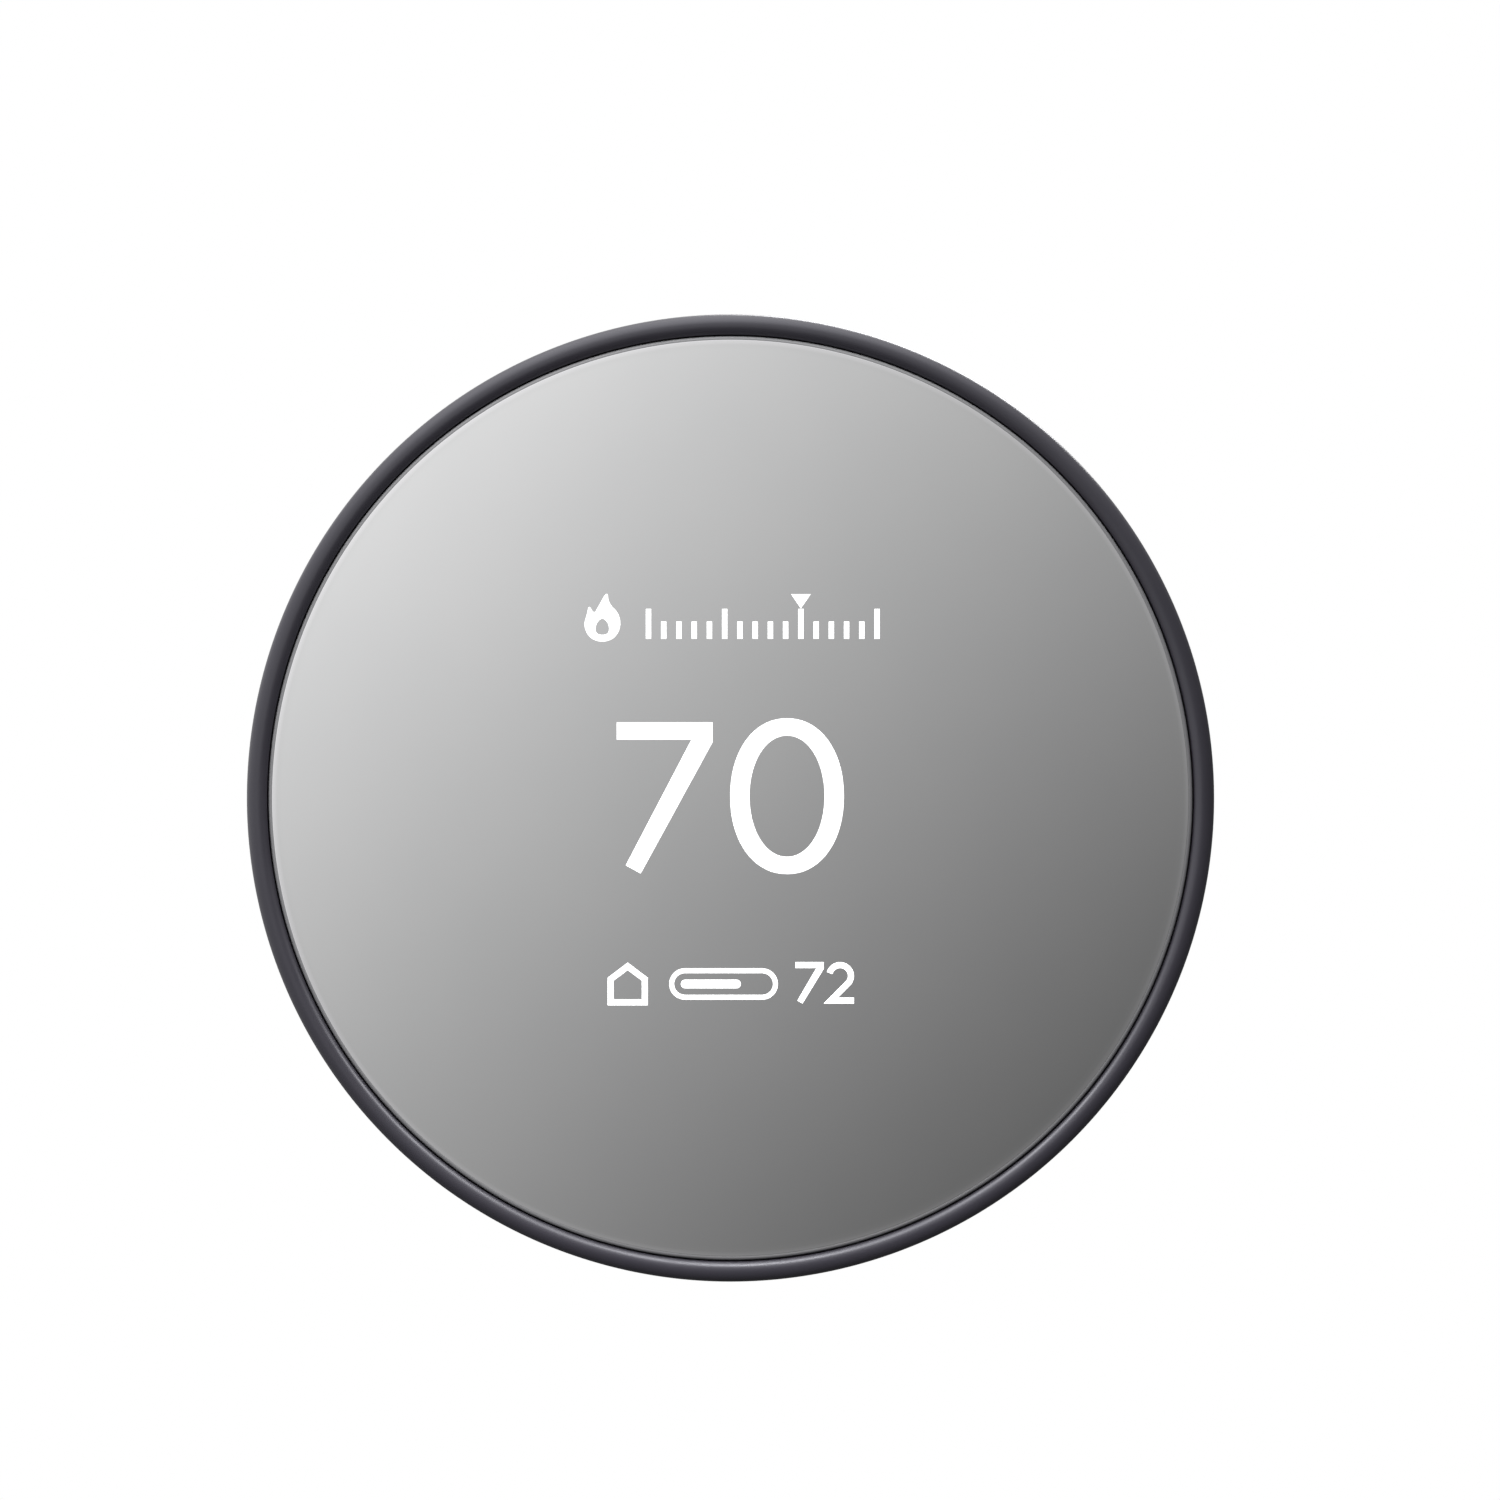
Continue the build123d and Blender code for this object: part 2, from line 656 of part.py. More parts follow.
def terminal_block(label, end):
    """Makes a four-way insulating block above (end 1) or below (end -1) the wire hole."""
    with BuildPart() as block:
        middle = end * (block_start + block_end) / 2
        slab(0, middle, 2 * block_half_width, block_end - block_start, base_board_front, block_top)
        for x in terminal_columns:
            slab(x, end * tab_row, 5.4, 4.7, tab_pocket, block_top, Mode.SUBTRACT)
            slab(x, end * (block_start + tab_row) / 2, entry_width, tab_row - block_start,
                 entry_roof - entry_width, entry_roof, Mode.SUBTRACT)
            slab(x, end * (block_start + 3.0), 3.4, 1.6, 8.6, block_top, Mode.SUBTRACT)
            contact(x, end, Mode.SUBTRACT)
    save(block, label)


terminal_block("terminal_block_upper", 1)
terminal_block("terminal_block_lower", -1)

terminals = [(x, end) for end in (1, -1) for x in terminal_columns]

with BuildPart() as terminal_contacts:
    for x, end in terminals:
        contact(x, end)
save(terminal_contacts, "terminal_contacts")

for number, (x, end) in enumerate(terminals, start=1):
    with BuildPart() as tab:
        slab(x, end * tab_row, 5.1, 4.4, tab_foot, tab_shoulder)
        slab(x, end * tab_row, 4.1, 3.5, tab_shoulder, tab_face)
        fillet(edges().group_by(Axis.Y)[0], radius=0.5)
    save(tab, f"terminal_tab_{number}")

    # A leaf spring under the tab: its tongue reaches into the wire's way and grips the wire.
    with BuildPart() as spring:
        with BuildSketch(side(x)):
            with BuildLine():
                low = tab_pocket + spring_thickness / 2
                high = tab_foot - spring_thickness / 2
                FilletPolyline((end * (tab_row - 1.9), low), (end * (tab_row + 1.9), low),
                               (end * (tab_row + 1.5), high), (end * (tab_row - 1.8), high),
                               radius=0.45)
            trace(line_width=spring_thickness)
        extrude(amount=1.6, both=True)
        tongue = tab_row - leaf_tip
        slab(x, end * (tab_row - tongue / 2), 2.0, tongue, tab_foot - spring_thickness, tab_foot)
    save(spring, f"clamp_spring_{number}")

# ---- Base: socket and level -------------------------------------------------------------------

socket_top = 11.8
socket_floor = 6.0
socket_hole = 1.0
with BuildPart() as connector_socket:
    slab(0, plug_row, *plug_size, base_board_front, socket_top)
    plug_grid(socket_hole, socket_floor, socket_top, Mode.SUBTRACT)
save(connector_socket, "connector_socket")

vial_depth = 8.0
vial_radius = 2.1
vial_length = 15.0
fluid_radius = 1.65
fluid_length = 13.6
bubble_length = 4.4
along_vial = Plane(origin=spot(0, vial_z, vial_depth), x_dir=(0, 1, 0), z_dir=(1, 0, 0))

with BuildPart() as level_cradle:
    slab(0, vial_z, vial_length, 5.4, base_board_front, vial_depth)
    with BuildSketch(along_vial):
        Circle(vial_radius)
    extrude(amount=vial_length, both=True, mode=Mode.SUBTRACT)
save(level_cradle, "level_cradle")

with BuildPart() as level_vial:
    with BuildSketch(along_vial):
        Circle(vial_radius)
    extrude(amount=vial_length / 2, both=True)
    with BuildSketch(along_vial):
        Circle(fluid_radius)
    extrude(amount=fluid_length / 2, both=True, mode=Mode.SUBTRACT)
save(level_vial, "level_vial")

with BuildPart() as level_fluid:
    with BuildSketch(along_vial):
        Circle(fluid_radius)
    extrude(amount=fluid_length / 2, both=True)
    with BuildSketch(along_vial.offset(-bubble_length / 2)):
        with Locations((0, fluid_radius * 0.6)):
            Circle(1.1)
    extrude(amount=bubble_length, mode=Mode.SUBTRACT)
save(level_fluid, "level_fluid")
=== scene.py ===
from math import acos, asin, cos, degrees, hypot, pi, radians, sin, sqrt

import bmesh
import bpy
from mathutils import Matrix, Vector
from mathutils.geometry import tessellate_polygon


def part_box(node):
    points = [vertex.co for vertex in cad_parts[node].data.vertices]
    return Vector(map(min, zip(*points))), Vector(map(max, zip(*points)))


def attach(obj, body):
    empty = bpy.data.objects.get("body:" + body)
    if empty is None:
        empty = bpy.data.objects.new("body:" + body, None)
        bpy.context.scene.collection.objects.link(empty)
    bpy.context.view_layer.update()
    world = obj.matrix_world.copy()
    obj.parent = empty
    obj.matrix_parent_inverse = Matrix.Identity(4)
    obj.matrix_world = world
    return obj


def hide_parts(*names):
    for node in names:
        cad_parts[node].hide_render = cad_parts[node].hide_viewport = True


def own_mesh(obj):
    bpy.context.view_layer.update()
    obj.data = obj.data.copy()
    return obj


# The looks of a round wall thermostat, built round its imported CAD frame.
# Lengths are millimetres, and MM turns them into metres. Only the camera, the lights and the floor
# are placed in metres.
# The wall is the plane y = 0, the lens faces -Y, and "depth" is the distance in front of the wall.

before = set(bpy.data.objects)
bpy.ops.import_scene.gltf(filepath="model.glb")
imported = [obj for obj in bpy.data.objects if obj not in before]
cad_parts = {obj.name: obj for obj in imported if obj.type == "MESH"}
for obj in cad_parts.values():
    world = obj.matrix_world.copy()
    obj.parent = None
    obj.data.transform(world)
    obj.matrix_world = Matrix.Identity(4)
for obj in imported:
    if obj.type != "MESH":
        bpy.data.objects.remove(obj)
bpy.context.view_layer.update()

MM = 0.001


# ---- Places, read from the frame ---------------------------------------------------------------

def corners(node):
    """Lowest and highest corner of a CAD node, in millimetres."""
    low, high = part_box(node)
    return low / MM, high / MM


lens_low, lens_high = corners("lens")
lens_radius = lens_high.x
lens_front = -lens_low.y
lens_back = -lens_high.y
dome_height = 0.75
edge_round = 0.35
dome_radius = (lens_radius**2 + dome_height**2) / (2 * dome_height)


def dome_depth(x, z):
    """Depth of the lens's domed front at a place on it."""
    return lens_front - dome_radius + sqrt(dome_radius**2 - x * x - z * z)


# ---- Mesh tools --------------------------------------------------------------------------------

def add_object(name, verts, faces, body, material, smooth=True):
    """Makes a mesh piece from points in millimetres, with its normals pointing outwards."""
    mesh = bpy.data.meshes.new(name)
    mesh.from_pydata([Vector(v) * MM for v in verts], [], faces)
    tidy = bmesh.new()
    tidy.from_mesh(mesh)
    bmesh.ops.remove_doubles(tidy, verts=tidy.verts, dist=1e-7)
    bmesh.ops.recalc_face_normals(tidy, faces=tidy.faces)
    tidy.to_mesh(mesh)
    tidy.free()
    piece = bpy.data.objects.new(name, mesh)
    bpy.context.scene.collection.objects.link(piece)
    if smooth:
        mesh.shade_smooth()
        mesh.set_sharp_from_angle(angle=radians(35))
    mesh.materials.append(material)
    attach(piece, body)
    return piece


def arc(centre, radius, start, end, steps):
    """Points (x, y) along an arc, its angles in degrees."""
    angles = [radians(start + (end - start) * i / steps) for i in range(steps + 1)]
    return [(centre[0] + radius * cos(a), centre[1] + radius * sin(a)) for a in angles]


def lathe(profile, segments):
    """Verts and faces of a profile of (radius, depth) points turned round the head's axis."""
    verts, faces = [], []
    for i in range(segments):
        angle = 2 * pi * i / segments
        verts += [(r * cos(angle), -depth, r * sin(angle)) for r, depth in profile]
    count = len(profile)
    for i in range(segments):
        here, there = i * count, (i + 1) % segments * count
        faces += [(here + j, here + j + 1, there + j + 1, there + j) for j in range(count - 1)]
    return verts, faces


def offset_line(points, distance, closed):
    """A copy of a line of (x, z) points, moved sideways by a distance, its corners mitred."""
    moved, count = [], len(points)
    for i, (x, z) in enumerate(points):
        before = points[i - 1] if i or closed else None
        after = points[(i + 1) % count] if i + 1 < count or closed else None
        normals = []
        for a, b in ((before, (x, z)), ((x, z), after)):
            if a is not None and b is not None:
                run = hypot(b[0] - a[0], b[1] - a[1])
                normals.append(((a[1] - b[1]) / run, (b[0] - a[0]) / run))
        nx, nz = sum(n[0] for n in normals), sum(n[1] for n in normals)
        share = distance * len(normals) / (nx * nx + nz * nz)
        moved.append((x + nx * share, z + nz * share))
    return moved


def stroke(points, width, closed=False):
    """The shape, an outline and its holes, of a line drawn with a pen of this width."""
    left = offset_line(points, width / 2, closed)
    right = offset_line(points, -width / 2, closed)
    return (left, [right]) if closed else (left + right[::-1], [])


def plate(shapes, front, back):
    """Verts and faces of flat shapes as thin closed plates. front and back give a point's place
    in the frame from its (x, z)."""
    verts, faces = [], []
    for outline, holes in shapes:
        loops = [outline, *holes]
        flat = [Vector((x, z, 0)) for loop in loops for x, z in loop]
        first, count = len(verts), len(flat)
        verts += [front(p.x, p.y) for p in flat] + [back(p.x, p.y) for p in flat]
        for a, b, c in tessellate_polygon([[Vector((x, z, 0)) for x, z in loop] for loop in loops]):
            faces.append((first + a, first + b, first + c))
            faces.append((first + count + c, first + count + b, first + count + a))
        start = first
        for loop in loops:
            for i in range(len(loop)):
                a, b = start + i, start + (i + 1) % len(loop)
                faces.append((a, b, b + count, a + count))
            start += len(loop)
    return verts, faces


def shifted(shapes, dx, dz, scale=1.0):
    """Copies of shapes, scaled and then moved."""
    def move(loop):
        return [(dx + x * scale, dz + z * scale) for x, z in loop]
    return [(move(outline), [move(hole) for hole in holes]) for outline, holes in shapes]


def eased(points, reach):
    """An open line with its corners rounded over a reach each side of them."""
    line, steps = [points[0]], 6
    for before, here, after in zip(points, points[1:], points[2:]):
        ends = []
        for other in (before, after):
            share = reach / hypot(other[0] - here[0], other[1] - here[1])
            ends.append([here[k] + (other[k] - here[k]) * share for k in (0, 1)])
        for i in range(steps + 1):
            t = i / steps
            weights = ((1 - t) ** 2, 2 * t * (1 - t), t * t)
            line.append(tuple(sum(w * p[k] for w, p in zip(weights, (ends[0], here, ends[1])))
                              for k in (0, 1)))
    return line + [points[-1]]


def ribbon(line, x, half_widths, thickness):
    """Verts and faces of a strip that follows a line of (z, depth) points, as wide along X as
    half_widths gives for each of them."""
    outer = offset_line(line, thickness / 2, False)
    inner = offset_line(line, -thickness / 2, False)
    verts, faces = [], []
    for a, b, half in zip(outer, inner, half_widths):
        for (z, depth), side in ((a, -1), (a, 1), (b, 1), (b, -1)):
            verts.append((x + side * half, -depth, z))
    for i in range(0, len(verts) - 4, 4):
        faces += [(i + k, i + (k + 1) % 4, i + 4 + (k + 1) % 4, i + 4 + k) for k in range(4)]
    last = len(verts) - 4
    return verts, faces + [(3, 2, 1, 0), (last, last + 1, last + 2, last + 3)]


def print_on(name, shapes, depth, facing, body, material, thickness=0.03):
    """Flat marks printed on a face of this depth, which faces the room (1) or the wall (-1)."""
    front, back = depth + facing * thickness, depth - facing * thickness / 3
    verts, faces = plate(shapes, lambda x, z: (x, -front, z), lambda x, z: (x, -back, z))
    return add_object(name, verts, faces, body, material, smooth=False)


# ---- Material tools ----------------------------------------------------------------------------

class Wiring:
    """Short ways to add nodes to a node tree and to wire them."""

    def __init__(self, tree):
        self.nodes, self.links = tree.nodes, tree.links

    def node(self, kind, inputs=None, **settings):
        """Adds a node, with links or values for its inputs."""
        made = self.nodes.new(kind)
        for key, value in settings.items():
            setattr(made, key, value)
        for key, value in (inputs or {}).items():
            self.feed(made.inputs[key], value)
        return made

    def feed(self, socket, value):
        """Links an output to a socket, or sets the socket's value."""
        if isinstance(value, bpy.types.NodeSocket):
            self.links.new(value, socket)
        else:
            socket.default_value = value

    def math(self, operation, *values, clamp=False):
        inputs = dict(enumerate(values))
        return self.node("ShaderNodeMath", inputs, operation=operation, use_clamp=clamp).outputs[0]


class Paint(Wiring):
    """A node material in the making: a Principled shader and the patterns that feed it."""

    def __init__(self, name, **sockets):
        self.material = bpy.data.materials.new(name)
        self.material.use_nodes = True
        super().__init__(self.material.node_tree)
        self.shader = self.nodes["Principled BSDF"]
        for socket, value in sockets.items():
            self.shader.inputs[socket.replace("_", " ")].default_value = value
        self.place = self.node("ShaderNodeTexCoord").outputs["Object"]

    def vector(self, operation, *values):
        inputs = dict(enumerate(values))
        return self.node("ShaderNodeVectorMath", inputs, operation=operation).outputs[0]

    def noise(self, size, detail=3.0, squeeze=None):
        """Noise from 0 to 1 with features of a size in millimetres, finer along each axis by its
        number in squeeze."""
        where = self.vector("MULTIPLY", self.place, squeeze) if squeeze else self.place
        inputs = {"Vector": where, "Scale": 1 / (size * MM), "Detail": detail, "Roughness": 0.5}
        return self.node("ShaderNodeTexNoise", inputs).outputs["Fac"]

    def ramp(self, factor, *stops, smooth=True):
        """Colours or greys at places from 0 to 1 along a factor."""
        made = self.node("ShaderNodeValToRGB", {"Fac": factor})
        made.color_ramp.interpolation = "LINEAR" if smooth else "CONSTANT"
        elements = made.color_ramp.elements
        while len(elements) < len(stops):
            elements.new(0.5)
        for element, (place, value) in zip(elements, stops):
            element.position = place
            colour = (value,) * 3 if isinstance(value, float) else value
            element.color = (*colour[:3], 1.0)
        return made.outputs["Color"]

    def mix(self, factor, a, b):
        made = self.node("ShaderNodeMix", data_type="RGBA")
        self.feed(made.inputs["Factor"], factor)
        for socket, value in ((made.inputs["A"], a), (made.inputs["B"], b)):
            self.feed(socket, (*value, 1.0) if isinstance(value, tuple) else value)
        return made.outputs["Result"]

    def axis(self, name):
        """One of the place's coordinates, in millimetres."""
        parts = self.node("ShaderNodeSeparateXYZ", {0: self.place})
        return self.math("DIVIDE", parts.outputs[name], MM)

    def away(self, first, second):
        """How far a place is from an axis, in millimetres."""
        squares = [self.math("POWER", self.axis(name), 2.0) for name in (first, second)]
        return self.math("POWER", self.math("ADD", *squares), 0.5)

    def bump(self, height, depth, edge=0.0):
        """Wires a bump of a depth in millimetres, and softens sharp edges to a radius."""
        made = self.node("ShaderNodeBump", {"Height": height, "Strength": 1.0, "Distance": depth * MM})
        if edge:
            bevel = self.node("ShaderNodeBevel", {"Radius": edge * MM}, samples=4)
            self.links.new(bevel.outputs[0], made.inputs["Normal"])
        self.links.new(made.outputs[0], self.shader.inputs["Normal"])

    def wear(self, radius):
        """How near a sharp edge a place is, from 0 to 1."""
        contrast = 4.0
        bevel = self.node("ShaderNodeBevel", {"Radius": radius * MM}, samples=4)
        straight = self.node("ShaderNodeNewGeometry").outputs["Normal"]
        inputs = {0: bevel.outputs[0], 1: straight}
        same = self.node("ShaderNodeVectorMath", inputs, operation="DOT_PRODUCT").outputs["Value"]
        return self.math("MULTIPLY", self.math("SUBTRACT", 1.0, same), contrast, clamp=True)

    def set(self, socket, value):
        self.feed(self.shader.inputs[socket], value)


def shade(colour, factor):
    """A colour made lighter or darker."""
    return tuple(min(1.0, channel * factor) for channel in colour[:3])


def plastic(name, colour, roughness=0.42, grain=0.16, depth=0.006, edge=0.12, wear=1.25, **sockets):
    """Moulded plastic: fine spark texture, a slow drift of colour, edges rubbed a little lighter."""
    drift_size, patch_size, speck_share, patchiness, worn_reach = 9.0, 4.0, 0.35, 0.14, 1.6 * edge
    paint = Paint(name, **sockets)
    drift = paint.ramp(paint.noise(drift_size, 4.0), (0.3, shade(colour, 0.97)), (0.7, shade(colour, 1.03)))
    speck = paint.noise(grain, 2.0)
    mottled = paint.mix(paint.math("MULTIPLY", speck, speck_share), drift, shade(colour, 0.72))
    paint.set("Base Color", paint.mix(paint.wear(worn_reach), mottled, shade(colour, wear)))
    patch = paint.math("MULTIPLY", paint.noise(patch_size, 5.0), patchiness)
    paint.set("Roughness", paint.math("ADD", patch, roughness - patchiness / 2))
    paint.bump(speck, depth, edge)
    return paint.material


def metal(name, colour, roughness, grain=(1.0, 1.0, 12.0)):
    """Rolled or plated metal: fine lines across one axis, slight tarnish, bright edges."""
    line_size, line_depth, line_share, tarnish_size, edge = 0.25, 0.002, 0.22, 3.5, 0.06
    paint = Paint(name, Metallic=1.0)
    lines = paint.noise(line_size, 3.0, squeeze=grain)
    tarnish = paint.ramp(paint.noise(tarnish_size, 5.0), (0.35, shade(colour, 0.80)),
                         (0.70, shade(colour, 1.08)))
    paint.set("Base Color", paint.mix(paint.wear(edge * 2), tarnish, shade(colour, 1.3)))
    rough = paint.math("MULTIPLY", lines, line_share)
    paint.set("Roughness", paint.math("ADD", rough, roughness - 0.10))
    paint.bump(lines, line_depth, edge)
    return paint.material


def laminate(name, colour, trace_colour):
    """Circuit board: solder mask over a maze of traces, with gilt pads where some of them end.
    A die is thrown for each cell: which way its trace runs, and whether it has a pad."""
    cell, copper_depth, gilt = 1.3, 0.02, (0.72, 0.52, 0.20)
    half_trace, pad_radius, pad_from = 0.11, 0.26, 0.86
    paint = Paint(name, Roughness=0.32, Coat_Weight=0.4)
    grid = paint.vector("MULTIPLY", paint.place, (1 / (cell * MM),) * 3)
    column = paint.vector("MULTIPLY", paint.vector("FLOOR", grid), (1, 0, 1))
    throw = paint.node("ShaderNodeTexWhiteNoise", {"Vector": column}, noise_dimensions="3D")
    die = throw.outputs["Value"]
    parts = paint.node("ShaderNodeSeparateXYZ", {0: paint.vector("FRACTION", grid)}).outputs
    away = [paint.math("ABSOLUTE", paint.math("SUBTRACT", parts[k], 0.5)) for k in ("X", "Z")]
    near = [paint.math("LESS_THAN", a, half_trace) for a in away]
    upright = paint.math("GREATER_THAN", die, 0.5)
    line = paint.math("ADD", paint.math("MULTIPLY", near[0], upright),
                      paint.math("MULTIPLY", near[1], paint.math("SUBTRACT", 1.0, upright)), clamp=True)
    squares = [paint.math("POWER", a, 2.0) for a in away]
    outward = paint.math("POWER", paint.math("ADD", *squares), 0.5)
    pad = paint.math("MULTIPLY", paint.math("LESS_THAN", outward, pad_radius),
                     paint.math("GREATER_THAN", die, pad_from))
    mask = paint.ramp(paint.noise(2.5, 4.0), (0.3, shade(colour, 0.85)), (0.7, shade(colour, 1.15)))
    paint.set("Base Color", paint.mix(pad, paint.mix(line, mask, trace_colour), gilt))
    paint.set("Metallic", pad)
    paint.bump(paint.math("ADD", line, pad), copper_depth, 0.05)
    return paint.material


def clear(name, colour, roughness, ior):
    """Clear moulded plastic, with the faintest streaks in its polish."""
    paint = Paint(name, Transmission_Weight=1.0, IOR=ior)
    streak = paint.noise(2.0, 3.0)
    paint.set("Base Color", paint.ramp(streak, (0.3, shade(colour, 0.96)), (0.7, colour)))
    paint.set("Roughness", paint.math("ADD", paint.math("MULTIPLY", streak, 0.05), roughness))
    return paint.material


def dyed_liquid():
    """The level's liquid, with a painted glow that lightens it in its shaded recess, and a pale bubble in a
    dark outline at its top.
    """
    # Emission_Strength gives the liquid a painted glow that lightens it in the shade of its recess.
    paint = Paint("level_liquid", Transmission_Weight=0.45, IOR=1.38, Emission_Strength=0.22)
    half_length, half_height, below_top = 2.2, 0.9, 0.2
    centre = corners("level_fluid")[1].z - below_top - half_height
    along = paint.math("DIVIDE", paint.axis("X"), half_length)
    across = paint.math("DIVIDE", paint.math("SUBTRACT", paint.axis("Z"), centre), half_height)
    outward = paint.math("ADD", paint.math("POWER", along, 2.0), paint.math("POWER", across, 2.0))
    pale, outline, dye = (0.82, 1.0, 0.50), (0.05, 0.13, 0.005), (0.50, 0.90, 0.06)
    colours = paint.ramp(paint.math("MULTIPLY", outward, 0.5), (0.32, pale), (0.40, outline),
                         (0.48, outline), (0.56, dye))
    streak = paint.noise(2.0, 3.0)
    tint_and_glow = paint.mix(paint.math("MULTIPLY", streak, 0.12), colours, dye)
    paint.set("Base Color", tint_and_glow)
    # The liquid's colour is also its painted glow.
    paint.set("Emission Color", tint_and_glow)
    paint.set("Roughness", paint.math("ADD", paint.math("MULTIPLY", streak, 0.05), 0.01))
    return paint.material


def mirror():
    """The half-mirror coating on the lens: nearly even, with a haze too fine to see as marks. A ring of
    painted highlight makes it brightest just before the edge turns, and the edge itself is bare smoked
    plastic."""
    paint = Paint("mirror_coating")
    haze_size, highlight_from, highlight_width, bare_width = 14.0, 0.75, 0.3, 0.9 * edge_round
    # brightest is the colour of the painted highlight; smoked is the bare edge's own colour.
    brightest, smoked = (0.99, 0.985, 1.0), (0.27, 0.27, 0.28)
    haze = paint.noise(haze_size, 3.0)
    coated = paint.ramp(haze, (0.3, (0.865, 0.868, 0.872)), (0.7, (0.885, 0.886, 0.888)))
    away = paint.away("X", "Z")
    # A painted highlight: the coating's colour ramps up to brightest over a ring just inside the edge.
    past = paint.math("SUBTRACT", away, lens_radius - highlight_from)
    painted_highlight = paint.math("MULTIPLY", past, 1 / highlight_width, clamp=True)
    bare = paint.math("GREATER_THAN", away, lens_radius - bare_width)
    paint.set("Base Color", paint.mix(bare, paint.mix(painted_highlight, coated, brightest), smoked))
    paint.set("Metallic", paint.math("SUBTRACT", 1.0, bare))
    paint.set("Roughness", paint.math("ADD", paint.math("MULTIPLY", haze, 0.02), 0.055))
    return paint.material


def lit():
    """The display's white light, a touch dimmer where the lit tray behind it is further off."""
    paint = Paint("display_light", Roughness=0.5, Emission_Strength=1.0)
    glow = paint.ramp(paint.noise(6.0, 2.0), (0.2, (0.96, 0.965, 0.97)), (0.8, (1.0, 1.0, 1.0)))
    paint.set("Base Color", glow)
    paint.set("Emission Color", glow)
    return paint.material


def battery_jacket(name, up):
    """A cell: bare plated ends, and a plain dark jacket with a pale band round its top."""
    paint = Paint(name)
    low, high = corners(name)
    nub, rim, band, dark_line = 1.1, 0.5, 5.0, 0.5
    length = high.z - low.z
    start = low.z if up > 0 else high.z
    risen = paint.math("MULTIPLY", paint.math("SUBTRACT", paint.axis("Z"), start), up)
    along = paint.math("DIVIDE", risen, length)
    band_start, jacket_end = length - nub - band, length - nub - rim
    heights = (0.0, rim, band_start, band_start + dark_line, jacket_end)
    places = [height / length for height in heights]
    steel, jacket = (0.66, 0.65, 0.62), (0.030, 0.062, 0.072)
    line, pale = (0.010, 0.020, 0.024), (0.50, 0.51, 0.50)
    colours = paint.ramp(along, *zip(places, (steel, jacket, line, pale, steel)), smooth=False)
    scuff = paint.math("MULTIPLY", paint.noise(1.6, 5.0), 0.12)
    paint.set("Base Color", paint.mix(scuff, colours, (0.30, 0.29, 0.28)))
    paint.set("Metallic", paint.ramp(along, *zip(places, (1.0, 0.2, 0.2, 0.2, 1.0)), smooth=False))
    paint.set("Roughness", paint.math("ADD", paint.math("MULTIPLY", paint.noise(0.8, 4.0), 0.15), 0.20))
    paint.bump(paint.noise(0.5, 3.0), 0.003)
    return paint.material


def paint_nodes(material, *names):
    """Gives CAD nodes a material."""
    for name in names:
        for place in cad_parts[name].material_slots:
            place.material = material


# ---- Camera, lights and surroundings -----------------------------------------------------------

def link(name, data, location):
    """Adds an object that isn't a piece: the camera, a light or the floor."""
    made = bpy.data.objects.new(name, data)
    bpy.context.scene.collection.objects.link(made)
    made.location = location
    return made


def add_camera():
    """A camera straight in front of the rim. The picture is picture_share times as wide as the
    casing, which stands a little below and to the left of the picture's middle."""
    distance, rim_depth, lens_share, picture_share = 0.75, 25.3 * MM, 0.9537, 1.5509
    casing_width = 2 * lens_radius / lens_share * MM
    width = casing_width * picture_share
    aside, above = 0.0130 * width, 0.0320 * width
    camera = link("camera", bpy.data.cameras.new("camera"), (aside, -rim_depth - distance, above))
    camera.rotation_euler = (pi / 2, 0, 0)
    camera.data.sensor_width = 36.0
    camera.data.lens = camera.data.sensor_width * distance / width
    camera.data.clip_start = 0.01
    camera.data.clip_end = 20.0
    bpy.context.scene.camera = camera


def add_light(name, kind, location, target, power, **settings):
    """Adds a light that faces a target."""
    data = bpy.data.lights.new(name, kind)
    data.energy = power
    for key, value in settings.items():
        setattr(data, key, value)
    light = link(name, data, location)
    light.rotation_mode = "QUATERNION"
    light.rotation_quaternion = (Vector(target) - light.location).to_track_quat("-Z", "Y")


def add_lights():
    """A soft light on the wall side, and three small ones that pick out the bottom of the rim."""
    add_light("wall_side_light", "AREA", (0.30, 0.95, 0.70), (0, 0, 0), 7.0, shape="DISK", size=0.60)
    for x in (-0.12, 0.0, 0.12):
        add_light("low_rim_light", "SPOT", (x, -0.25, 0.12), (-0.4 * x, -0.026, -0.070), 1.2,
                  shadow_soft_size=0.03, spot_size=radians(28.0), spot_blend=1.0)


